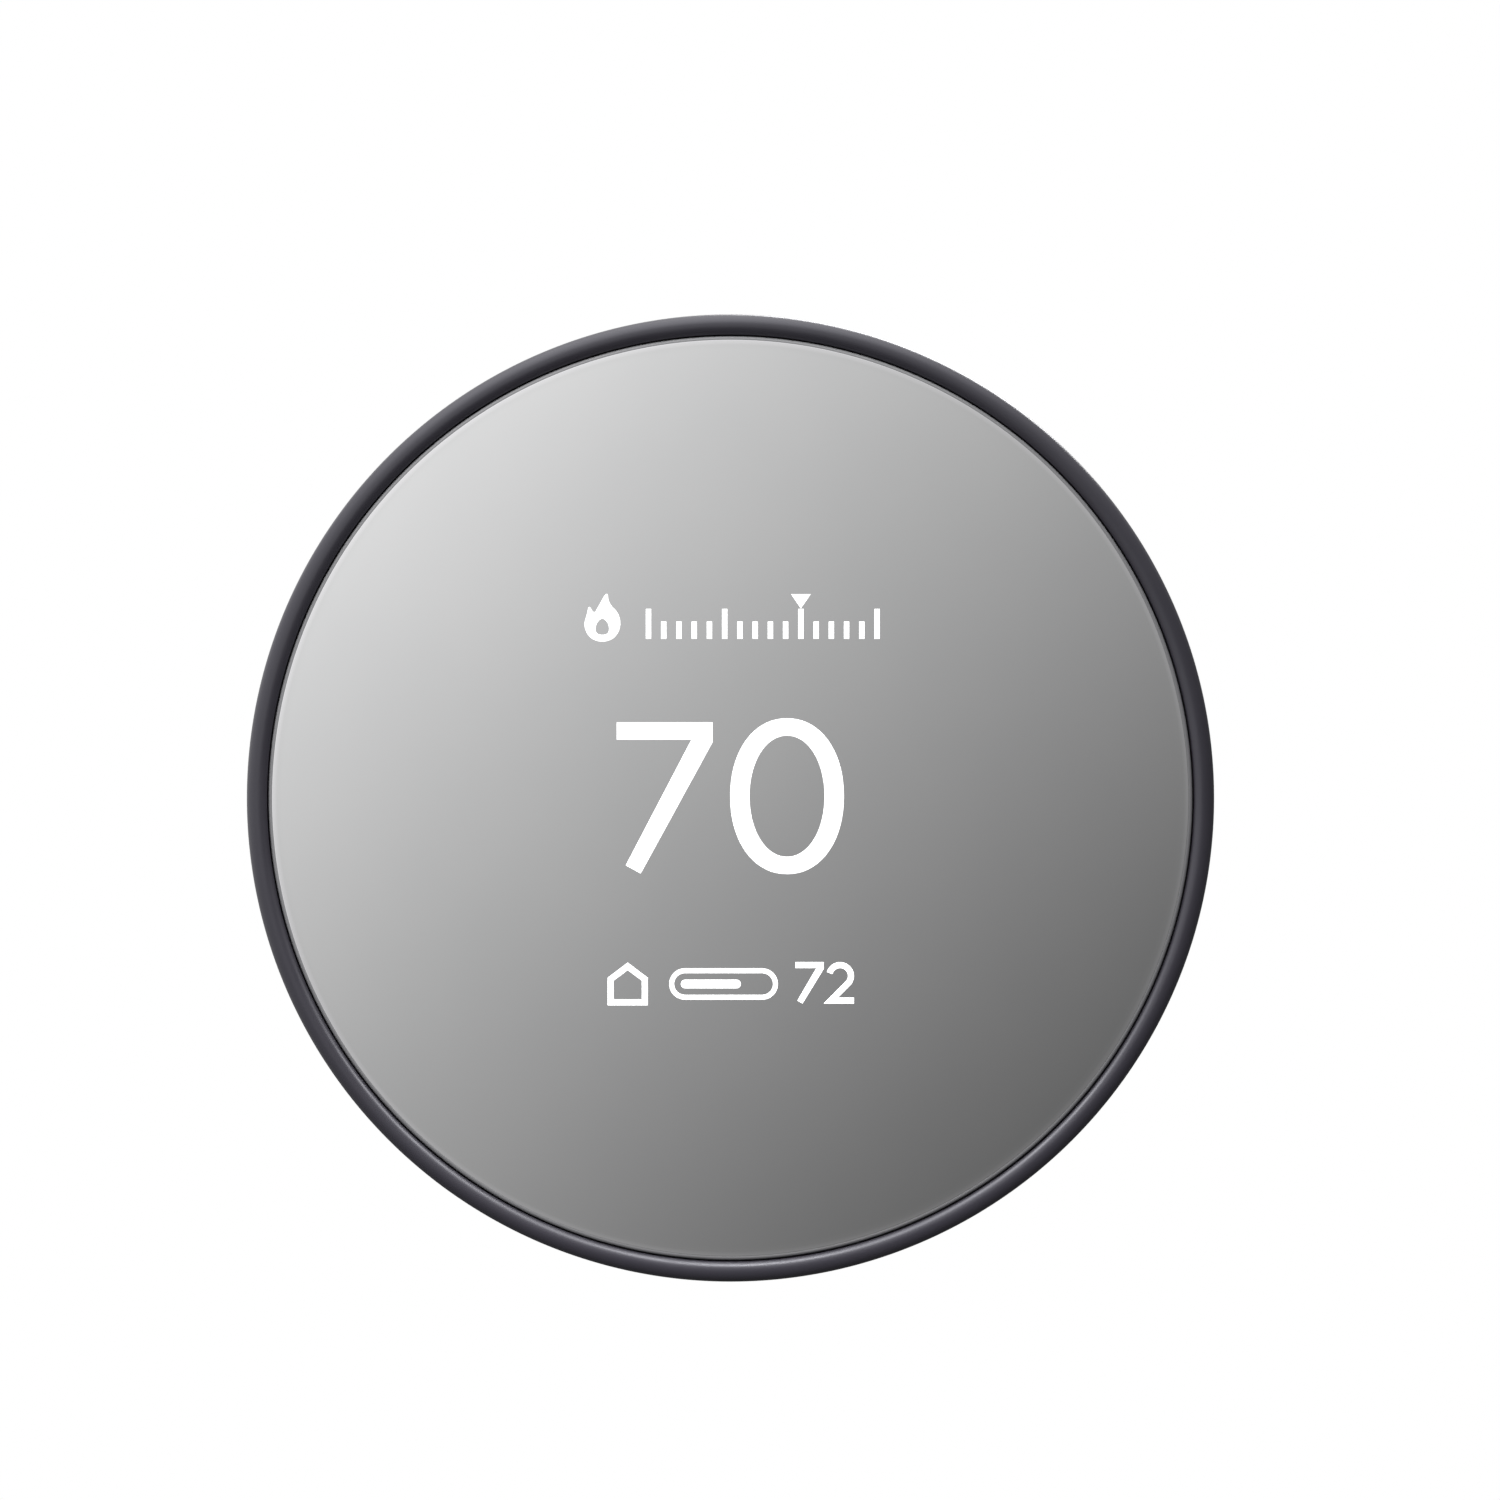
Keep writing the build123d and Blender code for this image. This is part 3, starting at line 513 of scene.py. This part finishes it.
def surroundings():
    """White round the object for the camera. Its lights and reflections come from a studio with a
    wide soft bank above and in front, bright at the upper left and dark below, and the lens faces
    an even slope of brightness from the upper left to the lower right."""
    world = bpy.data.worlds.new("studio")
    bpy.context.scene.world = world
    world.use_nodes = True
    world.node_tree.nodes.clear()
    sky = Wiring(world.node_tree)
    math = sky.math

    def slide(value, start, end):
        inputs = {"Value": value, "From Min": start, "From Max": end}
        return sky.node("ShaderNodeMapRange", inputs, interpolation_type="SMOOTHSTEP").outputs[0]

    direction = sky.node("ShaderNodeTexCoord").outputs["Generated"]
    right, inward, upward = sky.node("ShaderNodeSeparateXYZ", {0: direction}).outputs

    def along(x, y, z):
        across = math("ADD", math("MULTIPLY", right, x), math("MULTIPLY", upward, z))
        return math("ADD", across, math("MULTIPLY", inward, y))

    # What the lens mirrors from in front: brightness as a screen would show it, then as light.
    middle, darkest, brightest, coating = 0.628, 0.36, 0.88, 0.875
    screen = math("ADD", along(-1.255, 0, 1.340), middle)
    screen = math("MINIMUM", math("MAXIMUM", screen, darkest), brightest)
    front = math("DIVIDE", math("POWER", screen, 2.2), coating)

    # What the rest of the object mirrors: a room that is light above, and the bank.
    floor_glow, ceiling_glow, bank_glow = 0.14, 0.84, 1.5
    aslant = along(-0.50, 0, 0.87)
    room = math("ADD", math("MULTIPLY", slide(aslant, -0.35, 0.75), ceiling_glow), floor_glow)
    room = math("ADD", room, math("MULTIPLY", aslant, 0.05))
    bank = slide(along(-0.15, -0.17, 0.97), cos(radians(52)), cos(radians(8)))
    room = math("ADD", room, math("MULTIPLY", bank, bank_glow))
    share = slide(inward, -cos(radians(46)), -cos(radians(12)))
    mixed = math("ADD", math("MULTIPLY", front, share),
                 math("MULTIPLY", room, math("SUBTRACT", 1.0, share)))

    seen = sky.node("ShaderNodeLightPath").outputs["Is Camera Ray"]
    level = math("ADD", math("MULTIPLY", mixed, math("SUBTRACT", 1.0, seen)), seen)
    background = sky.node("ShaderNodeBackground", {"Color": (1, 1, 1, 1), "Strength": level})
    sky.node("ShaderNodeOutputWorld", {"Surface": background.outputs[0]})
    bpy.context.scene.view_settings.view_transform = "Standard"


def floor():
    """A wide pale floor, well below the object, that fades to white far off."""
    radius, sides, drop = 3.0, 96, 0.45
    mesh = bpy.data.meshes.new("floor")
    angles = [2 * pi * i / sides for i in range(sides)]
    mesh.from_pydata([(radius * cos(a), radius * sin(a), 0) for a in angles], [], [tuple(range(sides))])
    paint = Paint("floor_paint")
    grain = paint.noise(30.0, 4.0)
    mottled = paint.ramp(grain, (0.3, 0.415), (0.7, 0.430))
    outward = paint.math("DIVIDE", paint.away("X", "Y"), radius / MM)
    far_colour, fade = (0.85, 0.85, 0.85), 1.5
    paint.set("Base Color", paint.mix(paint.math("POWER", outward, fade), mottled, far_colour))
    paint.set("Roughness", paint.math("ADD", paint.math("MULTIPLY", grain, 0.1), 0.6))
    mesh.materials.append(paint.material)
    made = link("floor", mesh, (0, 0, -drop))
    made.visible_glossy = False
    made.visible_diffuse = False


add_camera()
add_lights()
surroundings()
floor()


# ---- The lens ----------------------------------------------------------------------------------

def lens_profile():
    """Centre of the front, over the dome, round the edge, to the centre of the back."""
    flat_radius = lens_radius - edge_round
    rings, support, tangent = 48, 0.01, 88
    radii = [(flat_radius - support) * i / rings for i in range(rings + 1)]
    front = [(r, dome_depth(r, 0)) for r in radii]
    edge_depth = dome_depth(flat_radius, 0) - edge_round
    edge = arc((flat_radius, edge_depth), edge_round, tangent, 0, 10)
    chamfer = [(lens_radius, lens_back + edge_round), (lens_radius - edge_round, lens_back)]
    return front + edge + chamfer + [(flat_radius * 0.5, lens_back), (0, lens_back)]


def lens():
    """The mirror lens, its edge rounder than its CAD node's."""
    verts, faces = lathe(lens_profile(), 256)
    piece = add_object("lens_mirror", verts, faces, "head", mirror())
    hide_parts("lens")


lens()


# ---- The casing --------------------------------------------------------------------------------

def casing_profile():
    """Round the bead beside the lens, down the side to the skirt, and back up inside."""
    high = corners("front_housing")[1]
    outer, bead, bead_depth, pocket = high.x, 1.1, 25.3, lens_radius + 0.15
    bead_centre = outer - bead
    bead_start = 180 - degrees(acos((bead_centre - pocket) / bead))
    profile = arc((bead_centre, bead_depth), bead, bead_start, 0, 32)
    taper_start, taper, skirt_corner = 22.0, 1.8, 4.0
    fall = taper_start - skirt_corner
    sweep = (fall**2 + taper**2) / (2 * taper)
    profile += arc((outer - sweep, taper_start), sweep, 0, -degrees(asin(fall / sweep)), 24)
    skirt_end, corner = -high.y, 1.0
    profile += arc((outer - taper - corner, skirt_end + corner), corner, 0, -90, 10)[1:]
    skirt_bore, skirt_depth, bore, bore_start = 38.4, 8.0, 39.9, 13.5
    shelf_bore, shelf_back, shelf_front = 36.6, 23.2, 24.7
    profile += [(skirt_bore, skirt_end), (skirt_bore, skirt_depth), (bore, bore_start),
                (bore, shelf_back), (shelf_bore, shelf_back), (shelf_bore, shelf_front),
                (pocket, shelf_front)]
    return profile + profile[:1]


def casing():
    """The charcoal casing, turned finer than its CAD node so that its highlights run smoothly."""
    charcoal = plastic("charcoal_satin", (0.045, 0.042, 0.055), roughness=0.33, grain=0.12, depth=0.0015,
                       edge=0.05, wear=1.1, Specular_IOR_Level=0.7,
                       Specular_Tint=(0.94, 0.94, 1.0, 1.0))
    verts, faces = lathe(casing_profile(), 384)
    piece = add_object("casing", verts, faces, "head", charcoal)
    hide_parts("front_housing")


casing()


# ---- The display's picture ---------------------------------------------------------------------

def oval(width, height, power, steps):
    """Points of a superellipse, anticlockwise. The higher the power, the squarer it is."""
    points = []
    for i in range(steps):
        c, s = cos(2 * pi * i / steps), sin(2 * pi * i / steps)
        x = abs(c) ** (2 / power) * width / 2
        z = abs(s) ** (2 / power) * height / 2
        points.append((x if c >= 0 else -x, z if s >= 0 else -z))
    return points


def digit_seven(width, height, pen):
    """A seven, standing on its middle: a bar, and a leg that leans to the lower left."""
    lean = 0.75 * width
    run = hypot(lean, height - pen)
    across, down = lean / run, (height - pen) / run
    top, left, right = height / 2, -width / 2, width / 2
    foot = (right - lean, -height / 2)
    outline = [(left, top), (right, top), (right, top - 1.15 * pen), foot,
               (foot[0] - pen * down * 0.98, foot[1] + pen * across),
               (right - 1.22 * pen, top - pen), (left, top - pen)]
    return [(outline, [])]


def digit_zero(width, height, pen):
    """A nought, standing on its middle, its sides a little heavier than its top and foot."""
    outer = oval(width, height, 2.12, 72)
    inner = oval(width - 1.95 * pen, height - 1.75 * pen, 2.05, 72)
    return [(outer, [inner])]


def digit_two(width, height, pen):
    """A two, standing on its middle: an arched neck, a slanting stem and a foot."""
    bow = (width - pen) / 2
    centre = height / 2 - pen / 2 - bow
    neck = arc((0, centre), bow, 165, -38, 16)
    foot = -height / 2 + pen / 2
    line = neck + [(-width / 2 + 0.75 * pen, foot), (width / 2, foot)]
    return [stroke(line, pen)]


def rectangle(width, height):
    right, top = width / 2, height / 2
    return [(-right, -top), (right, -top), (right, top), (-right, top)]


def capsule(length, height):
    reach = (length - height) / 2
    return arc((reach, 0), height / 2, -90, 90, 12) + arc((-reach, 0), height / 2, 90, 270, 12)


def rounded(points):
    """A loop with its corners cut off and then cut again, which rounds it."""
    for _ in range(2):
        cut = []
        for a, b in zip(points, points[1:] + points[:1]):
            cut += [tuple(a[k] + (b[k] - a[k]) * share for k in (0, 1)) for share in (0.25, 0.75)]
        points = cut
    return points


def flame(height):
    """A flame: a body whose tip leans, with a small lick at its side and a hollow at its foot."""
    body = [(0.10, 0.54), (0.13, 0.27), (0.33, 0.08), (0.38, -0.18), (0.26, -0.43), (0.0, -0.52),
            (-0.26, -0.43), (-0.38, -0.18), (-0.31, 0.05), (-0.27, 0.25), (-0.17, 0.06), (-0.10, 0.17)]
    heart = [(0.0, 0.0), (0.14, -0.15), (0.13, -0.36), (-0.13, -0.36), (-0.14, -0.15)]

    def sized(points):
        return [(x * height, z * height) for x, z in points]
    return [(rounded(sized(body)), [rounded(sized(heart))])]


def house(width, height, pen):
    """A house in outline."""
    wall, eave, ground, ridge = width / 2 - pen, 0.08 * height, (pen - height) / 2, height / 2 - pen
    line = [(-wall, ground), (wall, ground), (wall, eave), (0, ridge), (-wall, eave)]
    return [stroke(line, pen, closed=True)]


def arrow(height, width):
    """An arrow that points up."""
    head, shaft = 0.5 * height, 0.17 * width
    top = height / 2
    half = [(shaft, -top), (shaft, top - head), (width / 2, top - head)]
    return [(half + [(0, top)] + [(-x, z) for x, z in reversed(half)], [])]


def plus(size, pen):
    arm, half = size / 2, pen / 2
    side = [(-half, -arm), (half, -arm), (half, -half), (arm, -half), (arm, half), (half, half)]
    return [(side + [(-x, -z) for x, z in side], [])]


def ring(radius, pen):
    return [stroke(arc((0, 0), radius, 0, 360 - 360 / 48, 47), pen, closed=True)]


small_height = 3.6
small_pen = 0.52


def set_point_row():
    """A flame, for heating, and a scale with a pointer at its setting."""
    row, left, flame_height = 15.6, -12.7, 4.3
    shapes = shifted(flame(flame_height), left + 1.6, 0.1)
    start, pitch, ticks, pen, setting = left + 5.6, 1.32, 16, 0.46, 10
    for i in range(ticks):
        tall = 2.6 if i % 5 == 0 else 1.5
        shapes += shifted([(rectangle(pen, tall), [])], start + i * pitch, (tall - small_height) / 2)
    pointer = [(-0.85, 0.62), (0, -0.62), (0.85, 0.62)]
    shapes += shifted([(pointer, [])], start + setting * pitch, small_height / 2 - 0.35)
    return shifted(shapes, 0, row)


def room_row():
    """A house, for indoors, a gauge and the room's temperature."""
    row = -16.0
    shapes = shifted(house(4.0, 3.9, small_pen), -8.9, 0.0)
    gauge, filled, gap, middle, low = 9.0, 5.2, 0.8, -0.6, -0.1
    shapes += shifted([stroke(capsule(gauge, 2.3), 0.42, closed=True)], middle, low)
    shapes += shifted([(capsule(filled, 0.75), [])], middle - (gauge - filled) / 2 + gap, low)
    shapes += shifted(digit_seven(2.45, small_height, small_pen), 6.85, 0)
    shapes += shifted(digit_two(2.4, small_height, small_pen), 9.5, 0)
    return shifted(shapes, 0, row)


def display_picture():
    """What the display shows, as thin plates of light that follow the lens's dome."""
    shapes = set_point_row() + room_row()
    shapes += shifted(digit_seven(8.3, 13.1, 1.5), -5.7, 0.02)
    shapes += shifted(digit_zero(9.85, 13.5, 1.72), 4.9, 0.17)

    def above_dome(gap):
        return lambda x, z: (x, -dome_depth(x, z) - gap, z)

    verts, faces = plate(shapes, above_dome(0.035), above_dome(0.005))
    add_object("display_picture", verts, faces, "head", lit(), smooth=False)


display_picture()


# ---- Terminals ---------------------------------------------------------------------------------

def leaf_springs():
    """The springs under the terminal tabs: a folded foot, and a leaf that narrows to the wire."""
    steel = metal("leaf_steel", (0.62, 0.62, 0.64), 0.24, grain=(10, 1, 1))
    tab_travel, thickness, corner = 2.0, 0.3, 0.5
    for number in range(1, 9):
        low, high = corners(f"clamp_spring_{number}")
        tab_low, tab_high = corners(f"terminal_tab_{number}")
        middle, half, up = (low.x + high.x) / 2, (high.x - low.x) / 2, (1 if low.z > 0 else -1)
        foot, top = -high.y, -low.y
        row = abs(tab_low.z + tab_high.z) / 2
        lowest, highest = foot + thickness / 2, top - thickness / 2
        bend = eased([(row - 1.9, lowest), (row + 1.9, lowest), (row + 1.5, highest),
                      (row - 1.8, highest)], corner)
        tip = min(abs(low.z), abs(high.z))
        line = bend + [(row - 2.0, highest), (tip + 0.4, highest), (tip, highest)]
        widths = [half] * len(bend) + [0.62 * half, 0.62 * half, 0.45 * half]
        verts, faces = ribbon([(up * z, depth) for z, depth in line], middle, widths, thickness)
        piece = add_object(f"clamp_leaf_{number}", verts, faces, "base", steel)
        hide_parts(f"clamp_spring_{number}")
        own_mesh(piece)


leaf_springs()


# ---- Printed marks and label -------------------------------------------------------------------

def number_shapes(text, size):
    """Verts and faces of a number in the plain built-in font, standing on its middle. Its front and
    back are at 1 and -1."""
    curve = bpy.data.curves.new("number", "FONT")
    curve.body = text
    curve.size = size
    curve.extrude = 1.0
    curve.align_x = "CENTER"
    curve.align_y = "CENTER"
    curve.resolution_u = 4
    written = bpy.data.objects.new("number", curve)
    bpy.context.scene.collection.objects.link(written)
    graph = bpy.context.evaluated_depsgraph_get()
    mesh = bpy.data.meshes.new_from_object(written.evaluated_get(graph))
    bpy.data.objects.remove(written)
    verts = [tuple(v.co) for v in mesh.vertices]
    faces = [tuple(f.vertices) for f in mesh.polygons]
    bpy.data.meshes.remove(mesh)
    return verts, faces


def cover_marks():
    """A number beside each terminal tab, and an arrow above the level."""
    ink = plastic("ink_white", (0.80, 0.80, 0.80), roughness=0.5, depth=0.001, edge=0.01)
    face = -corners("base_cover")[0].y
    size, inward, lift, half_thickness = 2.6, 4.3, 0.01, 0.02
    verts, faces = [], []
    for number in range(1, 9):
        low, high = corners(f"terminal_tab_{number}")
        x, row = (low.x + high.x) / 2, (low.z + high.z) / 2
        z = row * (1 - inward / abs(row))
        digit_verts, digit_faces = number_shapes(str(number), size)
        first = len(verts)
        verts += [(x + v[0], -(face + lift + half_thickness * v[2]), z + v[1]) for v in digit_verts]
        faces += [tuple(first + i for i in corner) for corner in digit_faces]
    add_object("cover_numbers", verts, faces, "base", ink, smooth=False)
    low, high = corners("level_vial")
    above_vial = (low.z + high.z) / 2 + 3.6
    print_on("cover_arrow", shifted(arrow(1.9, 2.0), 0, above_vial), face, 1, "base", ink)


def level_lines():
    """The two black lines round the vial that the bubble rests between."""
    low, high = corners("level_vial")
    radius, depth, z = (high.z - low.z) / 2, -(low.y + high.y) / 2, (low.z + high.z) / 2
    half_apart, half_width, thickness, reach = 2.7, 0.16, 0.05, 70
    line = [(z + b, depth + a) for a, b in arc((0, 0), radius + 0.015, -reach, reach, 24)]
    verts, faces = [], []
    for x in (-half_apart, half_apart):
        ring_verts, ring_faces = ribbon(line, x, [half_width] * len(line), thickness)
        faces += [tuple(len(verts) + i for i in corner) for corner in ring_faces]
        verts += ring_verts
    ink = plastic("ink_black", (0.015, 0.015, 0.016), roughness=0.45, depth=0.001, edge=0.01)
    add_object("level_lines", verts, faces, "base", ink)


def plate_marks():
    """Marks on the wall side of the base plate: which way is up, and two mould dates without text."""
    ink = plastic("ink_grey", (0.20, 0.205, 0.21), roughness=0.5, depth=0.001, edge=0.01)
    shapes = shifted(arrow(4.6, 4.2), 0, 27.4)

    def spoke(angle, start, end, pen):
        turned = cos(radians(angle)), sin(radians(angle))
        return stroke([(start * turned[0], start * turned[1]), (end * turned[0], end * turned[1])], pen)

    for x, hand in ((-11.5, 25), (11.5, 140)):
        clock = ring(2.3, 0.22) + ring(0.75, 0.18)
        clock += [spoke(angle, 1.5, 2.0, 0.16) for angle in range(0, 360, 30)]
        clock += [spoke(hand, 0.0, 0.6, 0.2)]
        shapes += shifted(clock, x, -26.2)
    print_on("plate_marks", shapes, 0.0, -1, "base", ink)


def cell_marks():
    """Which way round the cells go, printed beside their bays."""
    ink = plastic("ink_pale", (0.55, 0.55, 0.56), roughness=0.5, depth=0.001, edge=0.01)
    sign_size, sign_pen, sign_place = 2.0, 0.38, 15.5
    shapes = []
    for x, up in ((-28.7, 1), (28.7, -1)):
        shapes += shifted(plus(sign_size, sign_pen), x, sign_place * up)
        shapes += shifted([(rectangle(sign_size, sign_pen), [])], x, -sign_place * up)
        shapes += shifted([stroke(rectangle(1.7, 14.0), 0.26, closed=True)], x, 0)
        shapes += shifted([(rectangle(0.8, 0.7), [])], x, 7.6 * up)
    print_on("cell_marks", shapes, -corners("rear_cover")[1].y, -1, "head", ink)


def rating_label():
    """The label in the rear cover's recess, with its frame and boxes and no wording."""
    width, height, corner, thickness, seat, middle = 19.2, 25.2, 1.3, 0.12, 12.9, 2.0
    rounds = []
    for x, z, start in ((1, -1, -90), (1, 1, 0), (-1, 1, 90), (-1, -1, 180)):
        centre = (x * (width / 2 - corner), z * (height / 2 - corner))
        rounds += arc(centre, corner, start, start + 90, 8)
    film = plastic("label_film", (0.80, 0.80, 0.79), roughness=0.3, grain=0.3, depth=0.001, edge=0.03)
    print_on("rating_label", shifted([(rounds, [])], 0, middle), seat, -1, "head", film,
             thickness)
    ink = plastic("label_ink", (0.03, 0.03, 0.033), roughness=0.5, depth=0.001, edge=0.01)
    shapes = [stroke(rectangle(width - 1.8, height - 1.8), 0.2, closed=True)]
    column, box = 4.3, [stroke(rectangle(7.2, 4.2), 0.16, closed=True)]
    for z in (-4.2, -9.0, 3.4):
        shapes += shifted(box, -column, z) + shifted(box, column, z)
    shapes += shifted(ring(2.0, 0.3), -column, 8.6)
    shapes += shifted([stroke(rectangle(4.4, 3.2), 0.3, closed=True)], column, 8.6)
    print_on("label_frame", shifted(shapes, 0, middle), seat - thickness, -1, "head", ink,
             thickness=0.02)


cover_marks()
level_lines()
plate_marks()
cell_marks()
rating_label()


# ---- Materials of the CAD pieces ---------------------------------------------------------------

paint_nodes(plastic("frame_black", (0.042, 0.042, 0.045), roughness=0.5), "display_frame", "rear_cover")
paint_nodes(plastic("foam_tape", (0.018, 0.018, 0.019), roughness=0.8, grain=0.3, depth=0.03, edge=0.05),
            "lens_adhesive", "display_gasket")
paint_nodes(plastic("panel_black", (0.012, 0.013, 0.016), roughness=0.12, depth=0.0005, edge=0.08,
                    Coat_Weight=0.6), "lcd_panel")
paint_nodes(metal("tray_aluminium", (0.78, 0.79, 0.80), 0.32), "backlight_unit")
paint_nodes(plastic("amber_film", (0.50, 0.22, 0.05), roughness=0.25, grain=0.4, depth=0.002, edge=0.04),
            "display_flex", "touch_tail")
paint_nodes(metal("zinc_plate", (0.52, 0.52, 0.54), 0.34, grain=(1, 1, 1)), "display_frame_screws",
            "board_screws", "rear_cover_screws", "base_cover_screws")
paint_nodes(laminate("head_board_mask", (0.010, 0.085, 0.045), (0.022, 0.150, 0.075)), "main_board",
            "sensor_board", "climate_sensor_board")
paint_nodes(laminate("base_board_mask", (0.008, 0.065, 0.050), (0.020, 0.120, 0.085)), "base_board")
paint_nodes(metal("tinned_sheet", (0.70, 0.70, 0.68), 0.40, grain=(1, 1, 1)), "processor_shield",
            "radio_shield")
paint_nodes(plastic("chip_epoxy", (0.022, 0.022, 0.024), roughness=0.55, edge=0.05), "board_components",
            "sounder", "radar_chip", "light_sensors", "climate_sensor")
paint_nodes(plastic("nylon_black", (0.030, 0.030, 0.032), roughness=0.45, edge=0.08), "plug_header",
            "connector_socket")
paint_nodes(plastic("nylon_ivory", (0.70, 0.66, 0.56), roughness=0.40, edge=0.06), "flex_connector",
            "sensor_connector")
paint_nodes(metal("copper_foil", (0.78, 0.42, 0.26), 0.30), "touch_strip")
paint_nodes(metal("gold_flash", (0.86, 0.66, 0.30), 0.20), "plug_pins", "terminal_contacts")
paint_nodes(metal("nickel_plate", (0.74, 0.72, 0.68), 0.24), "battery_springs", "battery_plates")
paint_nodes(metal("spring_steel", (0.52, 0.52, 0.53), 0.42, grain=(1, 1, 1)), "retention_springs")
paint_nodes(plastic("base_grey", (0.56, 0.565, 0.57), roughness=0.48, grain=0.22, depth=0.008),
            "base_plate")
paint_nodes(plastic("cover_grey", (0.33, 0.335, 0.34), roughness=0.46, grain=0.2, depth=0.008),
            "base_cover")
paint_nodes(plastic("terminal_black", (0.035, 0.035, 0.037), roughness=0.4), "terminal_block_upper",
            "terminal_block_lower")
paint_nodes(plastic("tab_white", (0.78, 0.78, 0.76), roughness=0.34, depth=0.003, edge=0.1),
            *[f"terminal_tab_{i}" for i in range(1, 9)])
paint_nodes(plastic("cradle_white", (0.74, 0.74, 0.72), roughness=0.5), "level_cradle")
paint_nodes(clear("vial_acrylic", (0.95, 0.98, 0.96), 0.02, 1.49), "level_vial")
paint_nodes(dyed_liquid(), "level_fluid")
for cell, up in (("battery_left", 1), ("battery_right", -1)):
    paint_nodes(battery_jacket(cell, up), cell)
